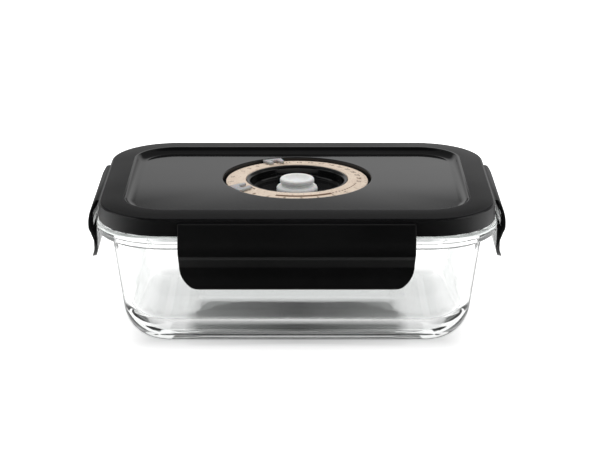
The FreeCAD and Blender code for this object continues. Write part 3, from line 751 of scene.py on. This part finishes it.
def dial_print():
    """All numbers, ticks, dots and rules of the dial as one flat mesh.

    DAYS and MONTHS give a count, the step from number to number, first angle, span, digit height
    and radius, and RULES radius, width, first angle and span, with angles in degrees.
    """
    quad = np.arange(4)[None]
    tick = SQUARE * [TICK_WIDTH / 2, TICK_LENGTH / 2]
    rule_faces = np.arange(RULE_STEPS)[:, None] + [0, 1, RULE_STEPS + 2, RULE_STEPS + 1]
    shapes = []
    for radius, width, first, span in RULES:
        along = np.linspace(-0.5, 0.5, RULE_STEPS + 1) * math.radians(-span) * radius
        edges = [np.stack([along, np.full(len(along), side * width / 2)], 1) for side in (-1, 1)]
        shapes.append((np.vstack(edges), rule_faces, radius, math.radians(first + span / 2)))
    for angle in np.radians(DOT_START + DOT_SPAN * np.linspace(0, 1, DOT_COUNT)):
        shapes.append((SQUARE * DOT_SIZE / 2, quad, DOT_RADIUS, angle))
    for count, step, first, span, height, radius in (DAYS, MONTHS):
        for number in range(count):
            angle = math.radians(first + span * number / (count - 1))
            shapes.append((tick, quad, TICK_RADIUS, angle))
            if number % step == 0:
                shapes.append((*number_mesh(str(number + 1), height), radius, angle))
    points, faces, start = [], [], 0
    for flat, flat_faces, radius, angle in shapes:
        points.append(set_on_dial(flat, radius, angle))
        faces += [face + start for face in flat_faces]
        start += len(flat)
    return new_piece("dial_print", np.vstack(points) * MM, np.zeros((0, 4), int), faces)


# The ink lies in an uneven, slightly worn coat.
dark_ink, light_ink = (0.09, 0.042, 0.018), (0.19, 0.1, 0.05)
brown_ink, _, _ = rippled("brown_ink", 1200.0, 0.000005, dark_ink, light_ink, (0.45, 0.6))
printed_numbers = dial_print()
printed_numbers.data.materials.append(brown_ink)
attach(printed_numbers, "lid")

# Markers: two small forks of light, slightly clear plastic. Each lies on the date ring, clips
# under its edge and is pushed round by a fingertip to frame a day or a month.
MARKER_REACH = 7.5
MARKER_INNER = DIAL_RADIUS - MARKER_REACH
MARKER_OUTER = DIAL_RADIUS + 1.2
MARKER_HALF_ANGLE = math.radians(7.75)
MARKER_FOOT = DIAL_TOP + 0.3
MARKER_TOP = PANEL_TOP
MARKER_RISE = DIAL_SLOPE * MARKER_REACH / (DIAL_RADIUS - DIAL_BORE)
MARKER_EASE = 0.3
CLIP_WALL = DIAL_RADIUS + 0.3
CLIP_TOP = MARKER_TOP - 0.4
CLIP_SHARE = 0.96
LIP_INNER = TRACK + 0.3
LIP_FOOT = DIAL_FLOOR + 0.3
LIP_TOP = TRACK_TOP - 0.3
NOTCH_HALF = 2.0
NOTCH_END = DIAL_RADIUS - 2.6


def inward_of(outline):
    """Inward direction at each point of a closed outline, square to the line of its neighbours."""
    after = np.roll(outline, -1, 0)
    along = unit(after - np.roll(outline, 1, 0))
    return np.stack([-along[:, 1], along[:, 0]], 1) * np.sign(cross(outline, after).sum())


def pillow(outline, foot, top, ease, steps=5):
    """Loops of a flat outline from foot to top, drawn in along quarter circles at both edges."""
    swing = np.linspace(0, np.pi / 2, steps)
    depth = ease * np.concatenate([1 - np.sin(swing), 1 - np.cos(swing)])
    height = np.concatenate([foot + ease * (1 - np.cos(swing)), top - ease * (1 - np.sin(swing))])
    plan = outline[None] + inward_of(outline)[None] * depth[:, None, None]
    return lifted(plan, height[:, None, None])


def fork_outline():
    """Plan of the fork about +X: part of a ring with a notch from its inner edge."""
    outer = rays_at(np.linspace(-MARKER_HALF_ANGLE, MARKER_HALF_ANGLE, 9)) * MARKER_OUTER
    start = np.linspace(MARKER_HALF_ANGLE, math.asin(NOTCH_HALF / MARKER_INNER), 4)
    inner = rays_at(start) * MARKER_INNER
    notch = np.array([(NOTCH_END, NOTCH_HALF), (NOTCH_END, -NOTCH_HALF)])
    return np.vstack([outer, inner, notch, inner[::-1] * [1, -1]])


def marker(name, angle):
    """Fork that lies on the ring and, welded to it, the clip outside the ring with its lip below."""
    fork = pillow(fork_outline(), MARKER_FOOT, MARKER_TOP, MARKER_EASE)
    inwards = MARKER_OUTER - np.linalg.norm(fork[..., :2], axis=2)
    fork[..., 2] += MARKER_RISE * inwards / (MARKER_OUTER - MARKER_INNER)
    corners = [
        (LIP_INNER, LIP_FOOT, 0.1), (MARKER_OUTER, LIP_FOOT, 0.2), (MARKER_OUTER, CLIP_TOP, 0),
        (CLIP_WALL, CLIP_TOP, 0), (CLIP_WALL, LIP_TOP, 0), (LIP_INNER, LIP_TOP, 0.1),
    ]
    section = rounded(corners, closed=True, steps=4)
    rays = rays_at(np.linspace(-CLIP_SHARE, CLIP_SHARE, 9) * MARKER_HALF_ANGLE)
    clip = lifted(rays[:, None] * section[None, :, :1], section[None, :, 1:])
    for loops in (fork, clip):
        loops[..., :2] = spun(loops[..., :2], angle)
    return welded(name, [surface(fork), surface(clip)])


def light_plastic():
    """Light grey plastic that lets some light in, with a soft mould grain."""
    dark, light = (0.40, 0.40, 0.41), (0.48, 0.48, 0.49)
    material, _, shader = rippled("light_plastic", 1500.0, 0.00001, dark, light, (0.26, 0.36))
    feed(shader, {"Subsurface Weight": 0.25, "Subsurface Scale": SKIN_DEPTH})
    return material


marker_plastic = light_plastic()
for body, rest_angle in (("day", 111.0), ("month", 212.0)):
    fork_piece = marker(body + "_fork", math.radians(rest_angle))
    fork_piece.data.materials.append(marker_plastic)
    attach(fork_piece, body)
    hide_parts(body + "_marker")

# Valve plug: white silicone valve pulled through the hole in the cup floor. Its skirt seals on
# the floor, the dished cap is what a finger lifts, and a knob below keeps it in.
valve_low, valve_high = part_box("valve_plug")
VALVE_TOP = valve_high.z / MM
VALVE_FOOT = valve_low.z / MM
VALVE_SKIRT = valve_high.x / MM
VALVE_CAP = 9.3
VALVE_WAIST = 8.5
VALVE_STEM = 2.7
VALVE_SEAT = CUP_FLOOR + 0.02
SKIRT_TOP = CUP_FLOOR + 3.7
DISH_RADIUS = 6.8
DISH_DEPTH = 2.2
CAP_NECK, CAP_EDGE = VALVE_TOP - 3.0, VALVE_TOP - 2.2
KNOB_REACH, KNOB_TOP = 1.5, VALVE_FOOT + 2.0


def valve_outline():
    """Valve section as (radius, height) from the knob up; the dish is depth * (1 - (r / R)^5)."""
    corners = [
        (0.5, VALVE_FOOT, 0), (VALVE_STEM, VALVE_FOOT, 0.7),
        (VALVE_STEM + KNOB_REACH, VALVE_FOOT + KNOB_REACH, 0.4), (VALVE_STEM, KNOB_TOP, 0.15),
        (VALVE_STEM, VALVE_SEAT, 0.2), (VALVE_SKIRT, VALVE_SEAT, 0.7),
        (VALVE_SKIRT, SKIRT_TOP, 2.1), (VALVE_WAIST, SKIRT_TOP, 0.35),
        (VALVE_WAIST, CAP_NECK, 0.3), (VALVE_CAP, CAP_EDGE, 0.4),
        (VALVE_CAP, VALVE_TOP, 1.15), (DISH_RADIUS + 0.4, VALVE_TOP, 0),
    ]
    body = rounded(corners, closed=False, steps=9)
    reach = DISH_RADIUS * np.linspace(0.985, 0.06, 24)
    dish = VALVE_TOP - DISH_DEPTH * (1 - (reach / DISH_RADIUS) ** 5)
    return np.vstack([body, np.stack([reach, dish], 1)])


valve_plug = new_piece("valve", *surface(turned(valve_outline(), even_rays(96))), sharp=60.0)
valve_plug.data.materials.append(silicone("white_valve", (0.78, 0.78, 0.77), (0.84, 0.84, 0.83)))
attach(valve_plug, "valve")
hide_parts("valve_plug")

# Latches: four snap latches moulded with the lid, each a bowed arm with a notch for the flange, a
# hook below it and a finger tab. The long ones are at the front and back, the short at the sides.
HINGE_HEIGHT = LID_EDGE - 2.2
FILM_WIDTH = 1.2
FILM_THICKNESS = 0.5
LATCH_TOP = HINGE_HEIGHT + FILM_THICKNESS / 2
HOOK = FLANGE_FOOT - 0.3
HEAD_REACH, HEAD_FALL = 1.3, 0.35
ROOT_DEPTH = 2.45
NOTCH_ROOF = FLANGE_TOP + 1.0
HOOK_SLOPE = 1.2
BELLY_DROP, STEP_DROP, TAB_DROP = 1.2, 3.1, 7.7
LATCH_INSIDE = 1.85
LATCH_NOTCH = 3.6
LATCH_BULGE = 6.4
STEP_BACK = 0.9
ARM_BOW = 23.0
TAB_WALL = 2.0
TAB_OUTSIDE = LATCH_INSIDE + TAB_WALL
TAB_NARROWING = 0.5
TAB_CORNER = 12.0
FLARE_RADIUS = 16.0
FLARE_HEIGHT = 7.5
LATCH_EASE = 0.45
# Edge mark at the latch ends: partly wear, partly a painted highlight.
END_WEAR_AND_HIGHLIGHT = 0.7


def bow(start, end, radius, steps):
    """Arc of a radius from start to end, anticlockwise, without its ends, as sharp corner rows."""
    start, end = np.array(start, float), np.array(end, float)
    chord = end - start
    length = np.linalg.norm(chord)
    normal = np.array([-chord[1], chord[0]]) / length
    centre = (start + end) / 2 + normal * math.sqrt(radius**2 - length**2 / 4)
    first = math.atan2(*(start - centre)[::-1])
    swing = first + np.linspace(0, 2 * math.asin(length / 2 / radius), steps)[1:-1]
    return np.column_stack([centre + radius * rays_at(swing), np.zeros(len(swing))])


def latch_outline(tip):
    """Section of a latch as (distance out of the lid's side, height), once round from the hinge."""
    inner_radius = FLARE_RADIUS + TAB_WALL
    share = FLARE_HEIGHT / FLARE_RADIUS
    level = math.sqrt(1 - share**2)
    flare_start = tip + inner_radius * share
    tip_inside = (TAB_OUTSIDE + FLARE_RADIUS - inner_radius * level, tip)
    tip_outside = (TAB_OUTSIDE + FLARE_RADIUS * (1 - level), flare_start - FLARE_HEIGHT)
    head = (FILM_WIDTH + HEAD_REACH, LATCH_TOP - HEAD_FALL)
    belly = (LATCH_BULGE, HOOK - BELLY_DROP)
    corners = [
        [(FILM_WIDTH, LATCH_TOP, 0.1), (FILM_WIDTH, LATCH_TOP - ROOT_DEPTH, 0.4)],
        [(LATCH_NOTCH, NOTCH_ROOF, 0.6), (LATCH_NOTCH, HOOK + HOOK_SLOPE, 0.4)],
        [(LATCH_INSIDE, HOOK, 0.4), (LATCH_INSIDE, flare_start, 0)],
        bow((LATCH_INSIDE, flare_start), tip_inside, inner_radius, 8),
        [(*tip_inside, 0.5), (*tip_outside, 0.5)],
        bow((TAB_OUTSIDE, flare_start), tip_outside, FLARE_RADIUS, 8)[::-1],
        [(TAB_OUTSIDE, flare_start, 0), (TAB_OUTSIDE, HOOK - TAB_DROP, 3.0)],
        [(LATCH_BULGE - STEP_BACK, HOOK - STEP_DROP, 1.2), (*belly, 1.0)],
        bow(belly, head, ARM_BOW, 14),
        [(*head, 0.35)],
    ]
    return rounded(np.vstack(corners), closed=True, steps=6)


def filled_ends(outline, ends):
    """End faces in triangles: the section is cut up flat, and its triangles are set on each end ring.

    Each triangle is turned the way the section runs, by the sign of its area, half of
    (b - a) x (c - a), and the other way on the ring that is listed backwards.
    """
    cut = np.array(tessellate_polygon([[(*place, 0.0) for place in outline]]))
    a, b, c = outline[cut].transpose(1, 0, 2)
    runs = np.sign(cross(outline, np.roll(outline, -1, 0)).sum())
    cut = np.where((cross(b - a, c - a) * runs < 0)[:, None], cut[:, ::-1], cut)
    return [row for end in ends for row in end.min() + (cut if end[0] < end[1] else cut[:, ::-1])]


def latch(name, half_length, tip, outward, base):
    """Latch section drawn out along a side of the lid; its ends follow the tab's outline.

    At height z the half length is half - narrowing * share below the hook, and in the lower corner
    the circle half_end - R + sqrt(R^2 - (R - (z - tip))^2). The last loops are drawn in along a
    quarter circle, so that the ends are rounded. The faces towards the glass are polished.
    """
    outline = latch_outline(tip)
    height = outline[:, 1]
    below = np.clip((HOOK - height) / (HOOK - tip - TAB_CORNER), 0, 1)
    drop = np.clip(TAB_CORNER - (height - tip), 0, TAB_CORNER)
    half = half_length - TAB_NARROWING * below - TAB_CORNER + np.sqrt(TAB_CORNER**2 - drop**2)
    swing = np.linspace(0, np.pi / 2, 5)
    depth = LATCH_EASE * (1 - np.sin(np.append(swing, swing[::-1])))[:, None, None]
    less = LATCH_EASE * (1 - np.cos(swing))[:, None]
    along = np.vstack([less - half, half - less[::-1]])[..., None]
    section = outline[None] + inward_of(outline)[None] * depth
    across = np.array([-outward[1], outward[0]])
    plan = base + outward * section[..., :1] + across * along
    # The edge mark lightens the colour at convex bends: partly wear, partly a painted highlight.
    wear = np.tile(edge_share(outline, 1), (len(along), 1))
    wear[[0, 1, -2, -1]] = END_WEAR_AND_HIGHLIGHT
    points, quads, ends = surface(lifted(plan, section[..., 1:]))
    piece = new_piece(name, points, quads, filled_ends(section[0], ends), sharp=40.0)
    set_marks(piece, wear.shape, wear=wear, polish=inward_of(outline)[:, 0] > 0.5)
    return piece


latch_black = moulded_black("latch_black", (0.003, 0.003, 0.0032), 0.34, 0.06)
LATCHES = (
    ("front", np.array([0.0, -1.0])),
    ("back", np.array([0.0, 1.0])),
    ("left", np.array([-1.0, 0.0])),
    ("right", np.array([1.0, 0.0])),
)
for side, outward in LATCHES:
    node = "latch_" + side
    low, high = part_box(node)
    half_length = (high.x if outward[0] == 0 else high.y) / MM
    flap = latch(side + "_latch", half_length, low.z / MM, outward, outward * LID_HALF)
    flap.data.materials.append(latch_black)
    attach(flap, side + "_latch")
    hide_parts(node)

# Film hinges: thin webs of the same moulding that join each latch to the lid's side. They are
# waisted in the middle of their width, where they bend when the latch is swung up.
FILM_WAIST = 0.3
for side, outward in LATCHES:
    node = "hinge_film_" + side
    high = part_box(node)[1]
    half_length = (high.x if outward[0] == 0 else high.y) / MM
    across = np.array([-outward[1], outward[0]])
    reach = np.linspace(0, FILM_WIDTH, 9)[:, None, None]
    waist = 1 - FILM_WAIST * np.sin(np.pi * reach / FILM_WIDTH)
    plan = outward * (LID_HALF + reach) + across * half_length * SQUARE[:, :1]
    level = HINGE_HEIGHT + SQUARE[:, 1:] * waist * FILM_THICKNESS / 2
    film = new_piece(side + "_film", *surface(lifted(plan, level)))
    film.data.materials.append(latch_black)
    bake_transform(film)
    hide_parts(node)

# Floor: pale matte table. It takes the soft shadow, over which a painted glow lifts it towards white away
# from the base, weaker near the base so that it paints a tight shadow there; a patch of painted shade,
# dark in the coat's colour under the front of the base, shows through the glass.
FLOOR_HALF = 4.0
LIFT_IN_GLOSS = 0.35
BASE_HALF = FLANGE_HALF * MM - 0.028
NEAR_BASE, OFF_BASE, SHADOW_WIDTH = 0.5, 0.85, 0.018
UNDER_BASE, UNDER_REST = 0.0, 0.45
SHADE_MIDDLE, SHADE_HALF, SHADE_EDGE = (0.0, -0.0235), (0.052, 0.0265), 0.007
SHADE_TONE, TABLE_TONE, SHADE_FADE = 0.1, 0.8, 0.075


def flat_card(name, centre, across, up):
    """Rectangular card from its centre and two half sides."""
    return new_piece(name, centre + SQUARE @ np.array([across, up]), np.arange(4)[None])


def place_of(nodes, kind="Object"):
    """X, Y and Z of a texture coordinate."""
    split = nodes.new("ShaderNodeSeparateXYZ")
    feed(split, {"Vector": nodes.new("ShaderNodeTexCoord").outputs[kind]})
    return split.outputs


def distance_off(nodes, middle, half):
    """Distance of a floor point from a rectangle along X and Y, 0 inside it."""
    place = place_of(nodes)
    squares = []
    for axis, centre, reach in zip("XY", middle, half):
        off = math_node("SUBTRACT", place[axis], float(centre))
        past = math_node("SUBTRACT", math_node("ABSOLUTE", off, 0.0), float(reach))
        squares.append(math_node("POWER", math_node("MAXIMUM", past, 0.0), 2.0))
    return math_node("POWER", math_node("ADD", *squares), 0.5)


def pale_table():
    """White table: a matte coat that takes the shadow, with a painted glow that lifts it towards white for
    rays that see it and painted shade in its colour under the base.
    """
    material, nodes, shader = new_material("pale_table")
    nodes.remove(shader)
    coat = nodes.new("ShaderNodeBsdfDiffuse")
    shine = nodes.new("ShaderNodeEmission")
    ray = nodes.new("ShaderNodeLightPath")
    off_base = distance_off(nodes, (0, 0), BASE_HALF)
    off_shade = distance_off(nodes, SHADE_MIDDLE, SHADE_HALF)
    off_middle = distance_off(nodes, (0, 0), (0, FLOOR_HALF))
    # Painted shade: inside the shade patch the coat's colour falls towards SHADE_TONE at the middle,
    # standing in for the shadow under the base.
    fade = spread(off_middle, SHADE_TONE, TABLE_TONE, 0.0, SHADE_FADE)
    past = spread(off_shade, 0.0, TABLE_TONE, 0.0, SHADE_EDGE)
    feed(coat, {"Color": math_node("MAXIMUM", fade, past)})
    # Painted glow: the lifts are emission, weaker near the base and under the shade patch, which paints the
    # tight shadow round and under the base.
    seen = spread(off_base, NEAR_BASE, OFF_BASE, 0.0, SHADOW_WIDTH)
    through = spread(off_shade, UNDER_BASE, UNDER_REST, 0.0, SHADE_EDGE)
    in_gloss = spread(off_base, 0.0, LIFT_IN_GLOSS, 0.0, SHADOW_WIDTH)
    in_glass = math_node("GREATER_THAN", ray.outputs["Transmission Depth"], 0.5)
    total = math_node("MULTIPLY", ray.outputs["Is Camera Ray"], seen)
    for kind, lift in ((in_glass, through), (ray.outputs["Is Glossy Ray"], in_gloss)):
        total = math_node("ADD", total, math_node("MULTIPLY", kind, lift))
    feed(shine, {"Strength": total})
    both = nodes.new("ShaderNodeAddShader")
    feed(both, {0: coat.outputs["BSDF"], 1: shine.outputs["Emission"]})
    feed(nodes["Material Output"], {"Surface": both.outputs["Shader"]})
    return material


floor = flat_card("floor", (0, 0, 0), (FLOOR_HALF, 0, 0), (0, FLOOR_HALF, 0))
floor.data.materials.append(pale_table())

# Reflector cards: white and black boards round the box that only reflections see. The back one
# has a bright strip at lid height, so the polished panel is lighter at the back; the high one
# lights the crown of the border, and the flag keeps the front latch black.
BACK_FALL = (
    (0.0, 0.28), (0.08, 0.35), (0.1, 0.68), (0.116, 0.64),
    (0.123, 0.42), (0.13, 0.14), (0.3, 0.2), (0.5, 0.16),
)
BACK_WIDTH = ((-0.7, 0.7), (-0.1, 0.8), (0.1, 1.0), (0.7, 1.0))
LEFT_FALL = ((0.0, 0.75), (0.5, 0.5))
RIGHT_FALL = ((0.0, 0.85), (0.5, 0.6))
HIGH_FALL = ((-0.6, 0.0), (-0.1, 0.04), (0.2, 0.22), (0.8, 0.3))
FLAG_WIDTH = ((-0.42, 0.012), (0.42, 0.012))


def ramp_of(nodes, axis, stops):
    """Strength that follows an object coordinate through stops of (position in metres, strength)."""
    low, high = stops[0][0], stops[-1][0]
    ramp = nodes.new("ShaderNodeValToRGB")
    marks = ramp.color_ramp.elements
    for position, _ in stops[1:-1]:
        marks.new((position - low) / (high - low))
    for mark, (_, strength) in zip(marks, stops):
        mark.color = (strength, strength, strength, 1)
    feed(ramp, {"Fac": spread(place_of(nodes)[axis], 0.0, 1.0, low, high)})
    return ramp.outputs["Color"]


def reflector(name, centre, across, up, *ramps):
    """Card that only reflections see, its strength the product of ramps of (axis, stops)."""
    card = flat_card(name, centre, across, up)
    material, nodes, shader = new_material(name + "_light")
    nodes.remove(shader)
    shine = nodes.new("ShaderNodeEmission")
    strength = ramp_of(nodes, *ramps[0])
    for ramp in ramps[1:]:
        strength = math_node("MULTIPLY", strength, ramp_of(nodes, *ramp))
    feed(shine, {"Strength": strength})
    feed(nodes["Material Output"], {"Surface": shine.outputs["Emission"]})
    card.data.materials.append(material)
    card.visible_camera = False
    card.visible_diffuse = False
    card.visible_transmission = False
    card.visible_shadow = False


back_ramps = ("Z", BACK_FALL), ("X", BACK_WIDTH)
reflector("back_card", (0, 0.14, 0.25), (0.7, 0, 0), (0, 0, 0.25), *back_ramps)
reflector("left_card", (-0.62, -0.1, 0.25), (0, 0.4, 0), (0, 0, 0.25), ("Z", LEFT_FALL))
reflector("right_card", (0.62, -0.1, 0.25), (0, -0.4, 0), (0, 0, 0.25), ("Z", RIGHT_FALL))
reflector("high_card", (0, 0.1, 1.0), (0.8, 0, 0), (0, -0.7, 0), ("Y", HIGH_FALL))
reflector("black_flag", (0, -0.65, 0.002), (0.42, 0, 0), (0, 0.55, 0), ("X", FLAG_WIDTH))

# Studio: white all round for what the camera and the glass see, and dark overhead, so that the
# rounds of the glass get dark lines; a dim room for light and gloss.
world = bpy.data.worlds.new("studio")
bpy.context.scene.world = world
world.use_nodes = True
sky = world.node_tree.nodes
room = sky["Background"]
feed(room, {"Color": (0.03, 0.03, 0.03, 1)})
white = sky.new("ShaderNodeBackground")
feed(white, {"Color": spread(place_of(sky, "Generated")["Z"], 1.0, 0.05, 0.35, 0.6)})
sky_ray = sky.new("ShaderNodeLightPath")
in_glass = math_node("GREATER_THAN", sky_ray.outputs["Transmission Depth"], 0.5)
sees_white = math_node("MAXIMUM", sky_ray.outputs["Is Camera Ray"], in_glass)
sky_mix = mixed(sees_white, room.outputs["Background"], white.outputs["Background"])
feed(sky["World Output"], {"Surface": sky_mix})

# Lamps: a tent of large soft boxes, one above and one on each side, for a light that falls evenly
# from all round and leaves only a faint shadow. Reflections see the cards instead of them.
TENT_AIM = np.array([0.0, 0.0, 0.05])
SOFT_BOX = 1.4
for name, place, power in (
    ("soft_box_above", (0.0, 0.4, 1.35), 12.0),
    ("soft_box_front", (0.0, -1.15, 0.65), 5.5),
    ("soft_box_back", (0.0, 1.15, 0.65), 8.0),
    ("soft_box_left", (-1.15, 0.0, 0.65), 6.0),
    ("soft_box_right", (1.15, 0.0, 0.65), 7.0),
):
    lamp = bpy.data.lights.new(name, "AREA")
    lamp.shape = "SQUARE"
    lamp.size = SOFT_BOX
    lamp.energy = power
    holder = bpy.data.objects.new(name, lamp)
    holder.location = place
    holder.visible_glossy = False
    holder.visible_transmission = False
    ray = TENT_AIM - np.array(place)
    turn = math.atan2(ray[1], ray[0]) - math.pi / 2
    holder.rotation_euler = (math.atan2(math.hypot(ray[0], ray[1]), -ray[2]), 0, turn)
    bpy.context.collection.objects.link(holder)

# Camera: a long lens, a little above the box and square to its front, as in the photograph.
CAMERA_AIM = np.array([1.6, 0.0, 48.7]) * MM
CAMERA_PITCH = math.radians(17.4)
CAMERA_DISTANCE = 1086.7 * MM
camera_data = bpy.data.cameras.new("camera")
camera_data.sensor_width = 36.0
camera_data.lens = 120.3
camera = bpy.data.objects.new("camera", camera_data)
line_of_sight = np.array([0, math.cos(CAMERA_PITCH), -math.sin(CAMERA_PITCH)])
camera.location = CAMERA_AIM - line_of_sight * CAMERA_DISTANCE
camera.rotation_euler = (math.pi / 2 - CAMERA_PITCH, 0, 0)
bpy.context.collection.objects.link(camera)
bpy.context.scene.camera = camera
bpy.context.scene.view_settings.view_transform = "Standard"
